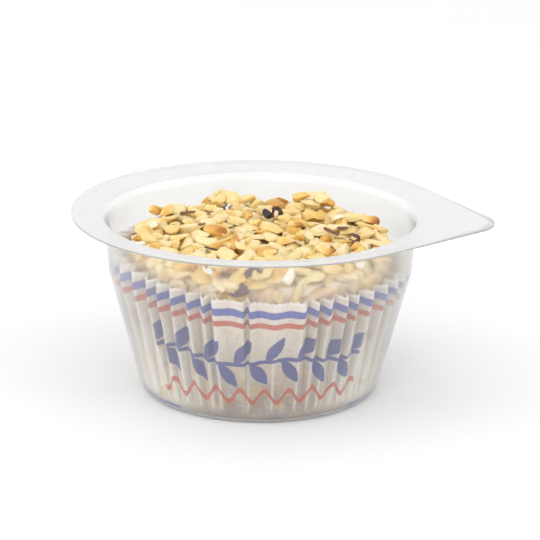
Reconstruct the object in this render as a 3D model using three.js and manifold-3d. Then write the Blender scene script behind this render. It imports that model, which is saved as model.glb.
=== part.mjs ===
// A small goat cheese coated with chopped hazelnuts, in a pleated paper case,
// inside a clear thermoformed tub with a pull tab on its flange.
// Millimetres, +Z up. The origin is on the tub's axis, at the underside of its base,
// and the pull tab points along +X.

import * as THREE from 'three';
import { mergeVertices } from 'three/addons/utils/BufferGeometryUtils.js';
import Module from 'manifold-3d';

const wasm = await Module();
wasm.setup();

// Tub: outer sizes of the moulded sheet
const tubHeight = 46;
const tubSheet = 0.6;
const flangeRadius = 47.5;
const flangeFlat = 2.2;
const flangeRise = 0.8;
const mouthRadius = 40.2;
const mouthCorner = 1.2;
const bandTopRadius = 39.2;
const bandTopHeight = 43.8;
const beadRadius = 38.25;
const beadHeight = 30.9;
const heelRadius = 30.1;
const heelCorner = 2.4;
const tubColumns = 80;

// Pull tab: its outline is the hull of the flange's circle and a smaller tip circle
const tabReach = 58.8;
const tabTipRadius = 9;
const tabColumnCrowding = 0.6;

// Paper case
const paper = 0.5;
const clearance = 0.36;
const caseFloor = tubSheet + clearance;
const caseFootHeight = 2.8;
const caseHeelInset = 1.5;
const columnsPerFlute = 4;
const fluteDepthPerSlant = 0.105;
const caseSlant = 31.3;
const caseLift = 3.6;
const caseLevels = [0, 0.86, 1];
const frontAzimuth = THREE.MathUtils.degToRad(-79.5);
const flatZoneHalfWidth = THREE.MathUtils.degToRad(16);
const flatZoneBlend = THREE.MathUtils.degToRad(4);
const flatZoneDepth = 0.35;

// Outer folds of the front half, in degrees from the front; those of the back are evenly spaced
const frontFolds = [
  -90, -81.5, -73, -65, -55, -46.5, -41, -34.5, -27.3, -21, -17, -4.6,
  6, 16.5, 22.3, 27.2, 34.6, 39.3, 47, 56, 64, 72.5, 81, 90,
];
const backFlutes = 22;
const fluteCount = frontFolds.length - 1 + backFlutes;

// Cheese: radii of the bare curd at a few heights, then its coat
const cheeseFloor = caseFloor + paper + clearance;
const cheeseTop = 39.6;
const cheeseFootRadius = 28;
const cheeseWaistRadius = 30.6;
const cheeseWaistHeight = 20;
const cheeseShoulderRadius = 31.6;
const cheeseShoulderHeight = 34.5;
const cheeseEdgeDrop = 1;
const cheeseRounding = 4;
const cheeseColumns = 42;
const nutLength = 6;
const nutWidth = 3.6;
const nutThickness = 2.8;
const topNuts = 84;
const shoulderNuts = 26;
const sideNuts = 18;
const sideNutSink = 0.4;
const nutReach = 32.9;

// Two small peaks of nuts at the back: their azimuths in degrees
const peakAzimuths = [121, 72];
const peakRadius = 28.5;
const peakRise = 2.5;
const peakNuts = 3;
const peakSpread = 5;
const goldenAngle = Math.PI * (3 - Math.sqrt(5));

// Seeded random numbers from 0 to 1
function seededDraw(seed) {
  let state = seed >>> 0;
  return () => {
    state = (state + 0x6d2b79f5) >>> 0;
    let mixed = Math.imul(state ^ (state >>> 15), 1 | state);
    mixed = (mixed + Math.imul(mixed ^ (mixed >>> 7), 61 | mixed)) ^ mixed;
    return ((mixed ^ (mixed >>> 14)) >>> 0) / 4294967296;
  };
}

// Corners are [radius, height, rounding]; each rounded corner becomes an arc
function roundedPath(corners, arcSteps) {
  const path = [];
  corners.forEach(([radius, height, rounding = 0], index) => {
    const corner = new THREE.Vector2(radius, height);
    if (!rounding) {
      path.push(corner);
      return;
    }
    const before = new THREE.Vector2(...corners[index - 1]).sub(corner).normalize();
    const after = new THREE.Vector2(...corners[index + 1]).sub(corner).normalize();
    const halfAngle = Math.acos(before.dot(after)) / 2;
    const setback = rounding / Math.tan(halfAngle);
    const start = corner.clone().addScaledVector(before, setback);
    const end = corner.clone().addScaledVector(after, setback);
    const curve = new THREE.QuadraticBezierCurve(start, corner, end);
    path.push(...curve.getPoints(arcSteps));
  });
  return path;
}

// The same path moved to its left by a distance, with mitred corners
function offsetPath(path, distance) {
  return path.map((point, index) => {
    const before = path[Math.max(index - 1, 0)];
    const after = path[Math.min(index + 1, path.length - 1)];
    const into = point.clone().sub(before);
    const out = after.clone().sub(point);
    const first = (into.lengthSq() ? into : out.clone()).normalize();
    const second = (out.lengthSq() ? out : into.clone()).normalize();
    const along = first.clone().add(second).normalize();
    const mitre = distance / Math.max(along.dot(first), 0.5);
    return new THREE.Vector2(point.x - along.y * mitre, point.y + along.x * mitre);
  });
}

// A lathed body that stands on its axis along +Z
function lathe(profile, columns) {
  const geometry = new THREE.LatheGeometry(profile, columns);
  geometry.rotateX(Math.PI / 2);
  geometry.deleteAttribute('normal');
  geometry.deleteAttribute('uv');
  return geometry;
}

// Applies move(radius, azimuth, height), which returns the three new values, to each vertex
function reshape(geometry, move) {
  const positions = geometry.attributes.position;
  for (let i = 0; i < positions.count; i += 1) {
    const x = positions.getX(i);
    const y = positions.getY(i);
    const [radius, azimuth, height] = move(Math.hypot(x, y), Math.atan2(y, x), positions.getZ(i));
    positions.setXYZ(i, radius * Math.cos(azimuth), radius * Math.sin(azimuth), height);
  }
  return geometry;
}

function finished(geometry) {
  const merged = mergeVertices(geometry, 1e-4);
  merged.computeVertexNormals();
  return merged;
}

// Tub

const tubCorners = [
  [0, 0],
  [heelRadius, 0, heelCorner],
  [beadRadius, beadHeight],
  [bandTopRadius, bandTopHeight],
  [mouthRadius, tubHeight - tubSheet - flangeRise, mouthCorner],
  [flangeRadius - flangeFlat, tubHeight - tubSheet],
  [flangeRadius, tubHeight - tubSheet],
];
const tubOutside = roundedPath(tubCorners, 3);
const tubInside = offsetPath(tubOutside, tubSheet);
tubInside[0].x = 0;

// Radius of the flange's outline in a direction, with the tab along azimuth 0
function flangeOutline(azimuth) {
  const turn = Math.abs(azimuth);
  const tipCentre = tabReach - tabTipRadius;
  const tangentTurn = Math.acos((flangeRadius - tabTipRadius) / tipCentre);
  if (turn >= tangentTurn) return flangeRadius;
  const arcEnd = Math.atan2(
    tabTipRadius * Math.sin(tangentTurn),
    tipCentre + tabTipRadius * Math.cos(tangentTurn),
  );
  if (turn >= arcEnd) return flangeRadius / Math.cos(tangentTurn - turn);
  return tipCentre * Math.cos(turn) + Math.sqrt(tabTipRadius ** 2 - (tipCentre * Math.sin(turn)) ** 2);
}

function makeTub() {
  const profile = [...tubOutside, ...[...tubInside].reverse()];
  const tub = lathe(profile, tubColumns);
  return finished(reshape(tub, (radius, azimuth, height) => {
    const turned = azimuth - tabColumnCrowding * Math.sin(azimuth);
    const onEdge = radius > flangeRadius - flangeFlat / 2;
    return [onEdge ? flangeOutline(turned) : radius, turned, height];
  }));
}

// Inside radius of the tub's wall at a height
function tubBore(height) {
  const sheet = tubSheet / Math.cos(Math.atan2(beadRadius - heelRadius, beadHeight));
  const cone = THREE.MathUtils.lerp(heelRadius, beadRadius, height / beadHeight);
  const bandSlope = (bandTopRadius - beadRadius) / (bandTopHeight - beadHeight);
  const band = beadRadius + (height - beadHeight) * bandSlope;
  return Math.min(cone, band) - sheet;
}

// Paper case

const caseFootRadius = tubBore(caseFootHeight) - clearance;

// 1 on the side where the case sits highest, falling to 0 on the far side
function liftShare(azimuth) {
  return ((1 - Math.sin(azimuth - frontAzimuth)) / 2) ** 3;
}

// Every outer fold once round, closing on the first one
function allFolds() {
  const folds = [...frontFolds];
  const last = folds[folds.length - 1];
  for (let i = 1; i <= backFlutes; i += 1) folds.push(last + (180 / backFlutes) * i);
  return folds;
}

const folds = allFolds();

// The azimuth at a number of flutes counted from the first fold
function azimuthOfCount(count) {
  const flute = Math.floor(count) % fluteCount;
  const turn = THREE.MathUtils.lerp(folds[flute], folds[flute + 1], count - Math.floor(count));
  return frontAzimuth + THREE.MathUtils.degToRad(turn);
}

// 0 on an outer fold, 1 on an inner fold
function fluteFold(count) {
  return 1 - Math.abs(2 * (count - Math.floor(count)) - 1);
}

// The folds are pressed flatter on the side where the cheese bulges out
function fluteStrength(azimuth) {
  const away = Math.atan2(Math.sin(azimuth - frontAzimuth), Math.cos(azimuth - frontAzimuth));
  const zoneEnd = flatZoneHalfWidth + flatZoneBlend;
  const pressed = 1 - THREE.MathUtils.smoothstep(Math.abs(away), flatZoneHalfWidth, zoneEnd);
  return 1 - (1 - flatZoneDepth) * pressed;
}

// Paper length from the foot fold to the top edge; the case sits higher on one side
function slantAt(azimuth) {
  return caseSlant + caseLift * liftShare(azimuth);
}

// Radius and height of the case's outer face, at a share of the paper's length above the foot fold
function casePoint(count, level) {
  const azimuth = azimuthOfCount(count);
  const length = level * slantAt(azimuth);
  const depth = fluteDepthPerSlant * length * fluteFold(count) * fluteStrength(azimuth);
  let radius = caseFootRadius;
  let height = caseFootHeight;
  for (let pass = 0; pass < 3; pass += 1) {
    radius = tubBore(height) - clearance - depth;
    height = caseFootHeight + Math.sqrt(length ** 2 - (radius - caseFootRadius) ** 2);
  }
  return [radius, height];
}

function makeCase() {
  const wallStart = caseFootHeight + 1;
  const foot = new THREE.Vector2(caseFootRadius - caseHeelInset, caseFloor);
  // While it is lathed, a wall point stands above the floor by its place in caseLevels
  const outer = caseLevels.map((level, index) => new THREE.Vector2(caseFootRadius, wallStart + index));
  const inner = outer.map((point) => point.clone().add(new THREE.Vector2(-paper, 0))).reverse();
  const profile = [
    new THREE.Vector2(0, caseFloor),
    foot,
    ...outer,
    ...inner,
    new THREE.Vector2(foot.x - paper, caseFloor + paper),
    new THREE.Vector2(0, caseFloor + paper),
  ];
  const shell = lathe(profile, fluteCount * columnsPerFlute);
  return finished(reshape(shell, (radius, azimuth, height) => {
    const turns = azimuth / (2 * Math.PI) + 1;
    const column = Math.round(turns * fluteCount * columnsPerFlute);
    const count = column / columnsPerFlute;
    const turned = azimuthOfCount(count);
    if (height < caseFootHeight) return [radius, turned, height];
    const level = caseLevels[Math.round(height - wallStart)];
    const inside = radius < caseFootRadius - paper / 2;
    const [wallRadius, wallHeight] = casePoint(count, level);
    return [wallRadius - (inside ? paper : 0), turned, wallHeight];
  }));
}

// Cheese

function cheeseRadius(height) {
  const low = THREE.MathUtils.smoothstep(height, cheeseFloor, cheeseFloor + 3);
  const rise = (height - cheeseFloor) / (cheeseWaistHeight - cheeseFloor);
  const lower = THREE.MathUtils.lerp(cheeseFootRadius, cheeseWaistRadius, rise);
  const upper = (height - cheeseWaistHeight) / (cheeseShoulderHeight - cheeseWaistHeight);
  const higher = THREE.MathUtils.lerp(cheeseWaistRadius, cheeseShoulderRadius, upper);
  return Math.min(lower, higher) - 1.5 * (1 - low);
}

// Height of the bare top at a distance from the axis
function cheeseCrown(radius) {
  return cheeseTop - cheeseEdgeDrop * (radius / cheeseShoulderRadius) ** 2;
}

function cheeseCore() {
  const wall = [cheeseFloor, cheeseFloor + 3, cheeseWaistHeight, cheeseShoulderHeight];
  const edge = new THREE.Vector2(cheeseShoulderRadius, cheeseCrown(cheeseShoulderRadius));
  const crownRadius = cheeseShoulderRadius - cheeseRounding;
  const crownStart = new THREE.Vector2(crownRadius, cheeseCrown(crownRadius));
  const shoulder = new THREE.Vector2(cheeseShoulderRadius, cheeseShoulderHeight);
  const rounding = new THREE.QuadraticBezierCurve(shoulder, edge, crownStart).getPoints(3).slice(1);
  const crown = [14, 0].map((radius) => new THREE.Vector2(radius, cheeseCrown(radius)));
  const profile = [
    new THREE.Vector2(0, cheeseFloor),
    ...wall.map((height) => new THREE.Vector2(cheeseRadius(height), height)),
    ...rounding,
    ...crown,
  ];
  return lathe(profile, cheeseColumns);
}

// One chip of hazelnut, lying with its flat side along the surface's normal
function nutChip(place, normal, draw) {
  const ball = new THREE.IcosahedronGeometry(0.5, 0);
  const chip = mergeVertices(ball.deleteAttribute('normal').deleteAttribute('uv'));
  const positions = chip.attributes.position;
  for (let i = 0; i < positions.count; i += 1) {
    const swell = 0.85 + 0.3 * draw();
    positions.setXYZ(i, positions.getX(i) * swell, positions.getY(i) * swell, positions.getZ(i) * swell);
  }
  const size = 0.8 + 0.45 * draw();
  chip.scale(nutLength * size, nutWidth * (0.8 + 0.4 * draw()), nutThickness * (0.85 + 0.3 * draw()));
  chip.rotateY((draw() - 0.5) * 0.8);
  chip.rotateZ(draw() * Math.PI * 2);
  const turn = new THREE.Quaternion().setFromUnitVectors(new THREE.Vector3(0, 0, 1), normal);
  chip.applyQuaternion(turn);
  chip.translate(place.x, place.y, place.z);
  return chip;
}

function nutCoat() {
  const draw = seededDraw(41);
  const chips = [];
  for (let i = 0; i < topNuts; i += 1) {
    const radius = (cheeseShoulderRadius - 3.4) * Math.sqrt((i + 0.5) / topNuts);
    const azimuth = i * goldenAngle;
    const place = new THREE.Vector3(radius * Math.cos(azimuth), radius * Math.sin(azimuth), 0);
    place.z = cheeseCrown(radius) + 0.35 + 0.8 * draw();
    chips.push(nutChip(place, new THREE.Vector3(0, 0, 1), draw));
  }
  for (let i = 0; i < shoulderNuts; i += 1) {
    const azimuth = ((i + 0.3 * draw()) / shoulderNuts) * Math.PI * 2;
    const outward = new THREE.Vector3(Math.cos(azimuth), Math.sin(azimuth), 0);
    const place = outward.clone().multiplyScalar(cheeseShoulderRadius - 1.5);
    place.z = cheeseCrown(cheeseShoulderRadius) - 1.2 + 0.6 * draw();
    chips.push(nutChip(place, outward.clone().setZ(1).normalize(), draw));
  }
  for (let i = 0; i < sideNuts; i += 1) {
    const azimuth = ((i + 0.3 * draw()) / sideNuts) * Math.PI * 2;
    const outward = new THREE.Vector3(Math.cos(azimuth), Math.sin(azimuth), 0);
    const height = 31.5 + 2.5 * draw();
    const place = outward.clone().multiplyScalar(cheeseRadius(height) - sideNutSink).setZ(height);
    chips.push(nutChip(place, outward, draw));
  }
  for (const degrees of peakAzimuths) {
    for (let i = 0; i < peakNuts; i += 1) {
      const azimuth = THREE.MathUtils.degToRad(degrees + peakSpread * (i - 1));
      const outward = new THREE.Vector3(Math.cos(azimuth), Math.sin(azimuth), 0);
      const place = outward.multiplyScalar(peakRadius);
      place.z = cheeseCrown(peakRadius) + peakRise - 0.5 * draw();
      chips.push(nutChip(place, new THREE.Vector3(0, 0, 1), draw));
    }
  }
  return chips.map((chip) => reshape(chip, (radius, azimuth, height) => (
    [Math.min(radius, nutReach), azimuth, height]
  )));
}

function toSolid(geometry) {
  const merged = mergeVertices(geometry, 1e-4);
  const corners = merged.index.array;
  const sound = [];
  for (let i = 0; i < corners.length; i += 3) {
    const [a, b, c] = [corners[i], corners[i + 1], corners[i + 2]];
    if (a !== b && b !== c && c !== a) sound.push(a, b, c);
  }
  const vertProperties = new Float32Array(merged.attributes.position.array);
  const triVerts = new Uint32Array(sound);
  return new wasm.Manifold(new wasm.Mesh({ numProp: 3, vertProperties, triVerts }));
}

// The largest connected shell of a solid, without loose scraps or sealed hollows
function outerShell(solid) {
  const { vertProperties, triVerts } = solid.getMesh();
  const geometry = new THREE.BufferGeometry();
  geometry.setAttribute('position', new THREE.BufferAttribute(vertProperties, 3));
  geometry.setIndex([...triVerts]);
  const merged = mergeVertices(geometry, 1e-5);
  const corners = merged.index.array;
  const group = Array.from({ length: merged.attributes.position.count }, (_, i) => i);
  const rootOf = (i) => {
    let root = i;
    while (group[root] !== root) root = group[root];
    group[i] = root;
    return root;
  };
  for (let i = 0; i < corners.length; i += 3) {
    group[rootOf(corners[i + 1])] = rootOf(corners[i]);
    group[rootOf(corners[i + 2])] = rootOf(corners[i]);
  }
  const shells = new Map();
  for (let i = 0; i < corners.length; i += 3) {
    const root = rootOf(corners[i]);
    if (!shells.has(root)) shells.set(root, []);
    shells.get(root).push(corners[i], corners[i + 1], corners[i + 2]);
  }
  const largest = [...shells.values()].sort((a, b) => b.length - a.length)[0];
  merged.setIndex(largest);
  return merged;
}

function makeCheese() {
  let solid = toSolid(cheeseCore());
  for (const chip of nutCoat()) {
    solid = solid.add(toSolid(chip));
  }
  const cheese = outerShell(solid);
  cheese.computeVertexNormals();
  return cheese;
}

function named(name, geometry, settings) {
  const mesh = new THREE.Mesh(geometry, new THREE.MeshStandardMaterial(settings));
  mesh.name = name;
  return mesh;
}

const part = new THREE.Group();
part.add(named('cheese', makeCheese(), { color: 0xe9cf93, roughness: 0.7, metalness: 0 }));
part.add(named('paper_case', makeCase(), { color: 0xe6e0d6, roughness: 0.9, metalness: 0 }));
part.add(named('cup', makeTub(), {
  color: 0xeef0ef,
  roughness: 0.12,
  metalness: 0,
  transparent: true,
  opacity: 0.3,
}));

export default part;
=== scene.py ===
import math
from collections import namedtuple

import bmesh
import bpy
import numpy as np
from mathutils import Matrix, Vector


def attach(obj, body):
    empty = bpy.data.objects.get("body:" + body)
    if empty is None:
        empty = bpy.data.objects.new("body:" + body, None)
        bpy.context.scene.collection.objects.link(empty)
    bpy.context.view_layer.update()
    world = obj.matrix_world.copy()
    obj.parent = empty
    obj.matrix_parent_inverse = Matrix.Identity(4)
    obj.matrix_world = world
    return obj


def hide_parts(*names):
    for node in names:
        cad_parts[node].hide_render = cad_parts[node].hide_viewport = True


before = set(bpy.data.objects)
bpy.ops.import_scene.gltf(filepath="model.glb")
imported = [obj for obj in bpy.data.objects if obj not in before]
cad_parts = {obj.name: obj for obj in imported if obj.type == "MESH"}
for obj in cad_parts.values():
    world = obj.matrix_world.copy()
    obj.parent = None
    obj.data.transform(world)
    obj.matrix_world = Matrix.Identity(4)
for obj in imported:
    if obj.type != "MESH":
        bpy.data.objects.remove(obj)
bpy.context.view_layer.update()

# Sizes are in millimetres, except the lights'; MM turns them into metres
MM = 0.001
TAU = 2 * math.pi

# Tub: TUB_SHEET is the moulded solid's, CLEAR_SHEET the real film's
TUB_HEIGHT = 46
TUB_SHEET = 0.6
CLEAR_SHEET = 0.35
FLANGE_RADIUS = 47.5
FLANGE_FLAT = 2.2
FLANGE_RISE = 0.8
MOUTH_RADIUS = 40.2
MOUTH_CORNER = 1.2
BAND_TOP_RADIUS = 39.2
BAND_TOP_HEIGHT = 43.8
BEAD_RADIUS = 38.25
BEAD_HEIGHT = 30.9
HEEL_RADIUS = 30.1
HEEL_CORNER = 2.4
TAB_REACH = 58.8
TAB_TIP_RADIUS = 9
TAB_RING_START = FLANGE_RADIUS - FLANGE_FLAT + 0.6
TAB_COLUMN_CROWDING = 0.6
TUB_COLUMNS = 288

# Radius and height across the ring groove in the base
BASE_GROOVE = ((17.5, 0), (18.6, 0.35), (20.4, 0.35), (21.5, 0))

# The film's looks: name, share that is milky, tint of what it lets through, roughness. The second
# starts at a height, the others at a radius.
FILM_LOOKS = (
    ("clear_wall", 0.05, 0.935, 0.13),
    ("clear_band", 0.06, 0.935, 0.15),
    ("clear_flange", 0.48, 0.845, 0.15),
    # The edge's dark tint is painted shade for the dark line that bent light draws along the film's cut
    # edge
    ("clear_edge", 0.48, 0.5, 0.15),
)
BAND_LOOK_START = 33.6
FLANGE_LOOK_START = MOUTH_RADIUS - 0.4
EDGE_LOOK_START = FLANGE_RADIUS - 0.05
CLEAR_SHADOW = (251.6, 251.6, 251.6)

# Paper case: the paper's thickness at the base, and towards the axis through its slanting folds
PAPER = 0.14
PAPER_ACROSS_FOLDS = PAPER * 1.6
WALL_TO_PAPER = CLEAR_SHEET + 0.25
CASE_FLOOR = 0.5
CASE_FOOT_HEIGHT = 2.8
CASE_HEEL_INSET = 1.5
CASE_SLANT = 31.3
CASE_LIFT = 3.6
CASE_ROWS = 40
COLUMNS_PER_FLUTE = 18
FLUTE_DEPTH_PER_SLANT = 0.108
FLUTE_DEPTH_SHARES = (0.88, 1.12)
FRONT_AZIMUTH = math.radians(-79.5)
FLAT_ZONE_HALF_WIDTH = math.radians(16)
FLAT_ZONE_BLEND = math.radians(4)
FLAT_ZONE_DEPTH = 0.35
FOLD_PUSH = 0.4
LAP_DEGREES = -4.6
LAP_HALF_WIDTH = math.radians(1.3)
LAP_DEPTH = 2.9

# Outer folds of the front half, in degrees from the front; those behind are evenly spaced
FRONT_FOLDS = (
    -90, -81.5, -73, -65, -55, -46.5, -41, -34.5, -27.3, -21, -17, LAP_DEGREES,
    6, 16.5, 22.3, 27.2, 34.6, 39.3, 47, 56, 64, 72.5, 81, 90,
)
BACK_FLUTES_EACH_SIDE = 11

# Printed marks: stripes by their distance up the paper from its foot, and half their width
BLUE_STRIPE = (28.1, 0.95)
RED_STRIPE = (25.0, 0.72)
HEEL_STRIPE = (-1.7, 0.6)
SPRIG_LINE = 14.6
SPRIG_WAVE = (30, 0.9)
STEM_HALF_WIDTH = 0.54
LEAF_PITCH = 7.8
LEAF_HALF_LENGTH = 3.9
LEAF_HALF_WIDTH = 1.6
LEAF_OFFSET = 3.2
LEAF_TILT = math.radians(56)
WAVY_LINE = 4.9
WAVY_LINE_WAVE = (6.4, 1.7)
WAVY_LINE_HALF_WIDTH = 0.69
BLUE_INK = (26, 60, 166)
RED_INK = (196, 64, 16)
SPRIG_INK = (0, 30, 136)
INK_ON_INSIDE = 0.35

# The marks come three times round the case, those on the wall and that in the heel each with a
# shift, half a length and the blur of its ends, as shares of a third
PRINTS_ROUND = 3
WALL_PRINT = (3.5, 0.3925, 0.0075)
HEEL_PRINT = (1.97, 0.135, 0.015)

# The print is laid at this radius, its v is 1 at this paper length, and it ends inside the base
PRINT_RADIUS = 34
PRINT_LENGTH = 100
PRINT_MIDDLE = -30

# Cheese
CHEESE_FLOOR = 1.8
CHEESE_TOP = 36.8
FOOT_RADIUS = 28
WAIST_RADIUS = 30.3
WAIST_HEIGHT = 20
SHOULDER_RADIUS = 31
SHOULDER_HEIGHT = 34.5
EDGE_DROP = 1
EDGE_ROUNDING = 4

# Coat of chips, as it lies on the cheese
COAT_SEED = 20
COAT_LOWEST = 25
COAT_HIGHEST = 43.8
COAT_REACH = 33.2
SKIN_REACH = 33.8
HEAP_TOP = 40.5

# Humps of the heap: azimuth in degrees, distance from the axis, rise and spread
HEAP_HUMPS = (
    (112, 27, 1.2, 7), (121, 28.5, 1.9, 2.6), (72, 28.5, 2.9, 3), (24, 29, 1, 5), (166, 29, 1.4, 6),
)

# Layers on the side: number of places, lowest and highest
SIDE_LAYERS = ((280, COAT_LOWEST, 37), (160, 29, 37))

# Layers on the top: number of places, inset from the shoulder, first step of the spiral
TOP_LAYERS = ((260, 0, 0), (260, 0.5, 900), (260, 1, 1700), (240, 1, 2600))
GOLDEN_ANGLE = math.pi * (3 - math.sqrt(5))

# Kinds of chips: size over length, number of shapes, shortest and longest, share of all chips
ChipKind = namedtuple("ChipKind", "proportions shapes lengths share")
CHIP_KINDS = {
    "chunk": ChipKind((1, 0.76, 0.58), 16, (4.2, 6.8), 0.32),
    "sliver": ChipKind((1, 0.48, 0.38), 16, (5.6, 9.4), 0.29),
    "flake": ChipKind((1, 0.74, 0.4), 16, (5, 8.2), 0.3),
    "crumb": ChipKind((1, 0.8, 0.65), 6, (1.8, 3.2), 0.09),
}
CHIP_CREASE = math.radians(38)
WAVES_PER_CHIP = 3
WAVE_HEIGHT = 0.09
CUTS_PER_CHIP = 6
CUT_REACHES = (0.35, 0.8)

# How chips lie: how deep they sink, how far they bulge, and along and across them the steepest
# tilt and the spread of its random part
CHIP_SINK = 0.35
CHIP_DOME = 0.42
CHIP_TILTS = ((0.5, 0.16), (0.35, 0.12))

# Skins: size and thickness over length, and the angles by which flakes, hulls and curls are curled
SKIN_SIZE = (1, 0.6, 0.5)
SKIN_THICKNESS = 0.035
FLAKE_CURLS = (0.6, 2.2)
HULL_CURL = -1.4
CURL_ARC = 4.4

# Size of a curl over its length: along its axis, and round and across its arc
CURL_SIZE = np.array([0.6, 2.1, 2.1])
CURL_LIFT = 0.35

# Tones run from 0, pale, to 1, dark; bits of curd have a tone of their own
CURD_TONE = -1
PALE_BELOW = 0.3
GOLDEN_BELOW = 0.48
NUT_TONE_SPREAD = (2, 3.8)
DARKEST_NUT = 0.7

# Half-toasted chips, shorter than others, and the loose skins that some of them have
HALF_TOASTED_SHARE = 0.03
HALF_TOASTED_LENGTH = 0.6
HALF_TOASTED_TONES = (0.5, 0.7)
HALF_TOASTED_END = 0.55
LOOSE_SKIN_SHARE = 0.3
LOOSE_SKIN_LENGTHS = (1.4, 2.6)
LOOSE_SKIN_TONES = (0.3, 1)

# Chips that stand out: place, length, turn in degrees, tone from 0 to 1, kind
STANDOUTS = [
    # Two small peaks at the back
    ((-15, 24, 43), 6.2, 95, 0.12, "chunk"),
    ((-12.3, 22.5, 41), 5.8, 60, 0.2, "chunk"),
    ((-15.4, 24.4, 44), 4.4, 120, 0.1, "chunk"),
    ((8.8, 27, 43), 6, 95, 0.12, "chunk"),
    ((11, 24.5, 42.6), 5.8, 60, 0.2, "chunk"),
    # Toasted chips on the top
    ((-29.2, 6.5, 41), 4, 60, 0.5, "half"),
    ((-11.2, -3.9, 40), 6.8, 95, 0.58, "half"),
    ((-8.2, -13.4, 40), 4.6, 60, 0.62, "half"),
    ((-5.4, 12, 40), 5, 20, 0.52, "sliver"),
    ((7.8, 8.5, 40), 5, 80, 0.62, "half"),
    ((17.1, -3.7, 40), 4.2, 120, 0.62, "half"),
    ((25.9, 13.5, 41), 5.2, 80, 0.52, "half"),
    ((10.5, -2.5, 40), 3.6, 30, 0.5, "half"),
    ((5.7, -19.9, 40), 5, 90, 0.4, "flake"),
    ((19.7, -16.8, 40), 4.4, 95, 0.5, "half"),
    ((5.5, 25.8, 40), 5, 90, 0.44, "chunk"),
    # Dark bits of skin on the top; a curl's turn is that of its opening, 180 facing down
    ((-20.2, 6.5, 40), 3.8, 92, 0.8, "skin"),
    ((-9.2, -15.6, 40), 3.6, 92, 0.9, "skin"),
    ((-14.4, -3, 40), 2.6, 60, 0.8, "skin"),
    ((-0.3, 11.6, 40), 3.1, 60, 1.0, "nub"),
    ((1.6, 12.6, 40), 3.2, 180, 1.0, "curl"),
    ((17.8, 0.9, 40), 4, 95, 0.7, "skin"),
    ((20, 4.9, 40), 3, 75, 0.9, "skin"),
    ((24.2, -2, 40), 3.4, 90, 0.7, "curl"),
    # White bits of curd, on the top and at the side
    ((17.5, 14.4, 41), 3, 90, CURD_TONE, "crumb"),
    ((-26.8, -5.1, 41), 2.6, 90, CURD_TONE, "crumb"),
    ((-27.1, -16.6, 40), 3, 60, CURD_TONE, "crumb"),
    ((12.8, -30, 38.6), 5, 0, CURD_TONE, "flake"),
    ((-7, -31, 38.8), 3, 60, CURD_TONE, "flake"),
    ((28.4, -16.4, 37.4), 4, 0, CURD_TONE, "flake"),
    # Chips that show through the wall
    ((1.2, -31, 34.6), 5.2, 20, 0.75, "hull"),
    ((3.4, -31, 35.4), 3.8, 60, 0.8, "hull"),
    ((5, -31, 37.4), 3.2, 60, 0.8, "skin"),
    ((10.9, -29, 35.4), 7.4, 0, 0.5, "flake"),
    ((-12, -28.5, 36.3), 6.4, 20, 0.5, "half"),
    ((-24.9, -18.5, 36.8), 5.6, 0, 0.5, "half"),
    ((-7.5, -30, 38.2), 3, 0, 0.66, "half"),
    ((26.7, -16, 37.6), 4, 0, 0.5, "half"),
]

# Colours by place on a scale from 0 to 1: nuts and skins by tone, the paper from foot to top edge
NUT_COLOURS = (
    (0, (235, 216, 168)), (0.25, (233, 207, 140)), (0.42, (230, 194, 112)), (0.55, (217, 170, 82)),
    (0.72, (184, 120, 42)), (0.9, (130, 80, 32)), (1, (96, 58, 30)),
)
SKIN_COLOURS = ((0, (150, 98, 50)), (0.5, (104, 57, 42)), (1, (48, 34, 34)))
PAPER_COLOURS = (
    (0, (248, 239, 220)), (0.6, (244, 232, 214)), (0.85, (241, 225, 205)), (1, (233, 221, 211)),
)
PAPER_TOP = 32

# Stains of grease, oil and damp: size, detail, noise and paper lengths between which they set in,
# strength and colour
STAINS = (
    (7, 3, (0.45, 0.65), (25, 17), 0.45, (226, 204, 164)),
    (4.2, 0, (0.64, 0.7), (24, 20), 0.6, (208, 172, 112)),
    (5, 3, (0.5, 0.62), (26, 18), 0.25, (204, 206, 212)),
)

# The photograph's camera, in a frame turned so that +X is to the picture's right
CAMERA_AZIMUTH = math.radians(10.5)
CAMERA_ELEVATION = math.radians(17.73)
CAMERA_ROLL = math.radians(0.64)
CAMERA_DISTANCE = 600
CAMERA_AIM = (2.48, 0, 30.03)
CAMERA_LENS = 157.8

# Lights: name, place and size in metres, power in watts
LIGHTS = (
    ("key", (-0.2, 0.1, 0.9), 0.9, 0.5),
    ("left", (-0.85, -0.3, 0.35), 0.7, 2.3),
    ("right", (0.85, -0.2, 0.35), 0.7, 2),
    ("front", (-0.1, -0.95, 0.25), 0.8, 2.3),
)
LIGHT_AIM = (0, 0, 0.02)
FLOOR_REACH = 6000
FLOOR_DROP = 0.1


def srgb(*colour):
    """A colour given as 0 to 255, in Blender's linear values."""
    shares = [value / 255 for value in colour]
    return (*(v / 12.92 if v <= 0.04045 else ((v + 0.055) / 1.055) ** 2.4 for v in shares), 1)


# Node maths


class Wire:
    """An output socket that takes part in sums and products."""

    def __init__(self, shader, socket):
        self.shader = shader
        self.socket = socket

    def __add__(self, other):
        return self.shader.math("ADD", self, other)

    def __sub__(self, other):
        return self.shader.math("SUBTRACT", self, other)

    def __mul__(self, other):
        return self.shader.math("MULTIPLY", self, other)

    def __truediv__(self, other):
        return self.shader.math("DIVIDE", self, other)

    __radd__ = __add__


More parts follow.
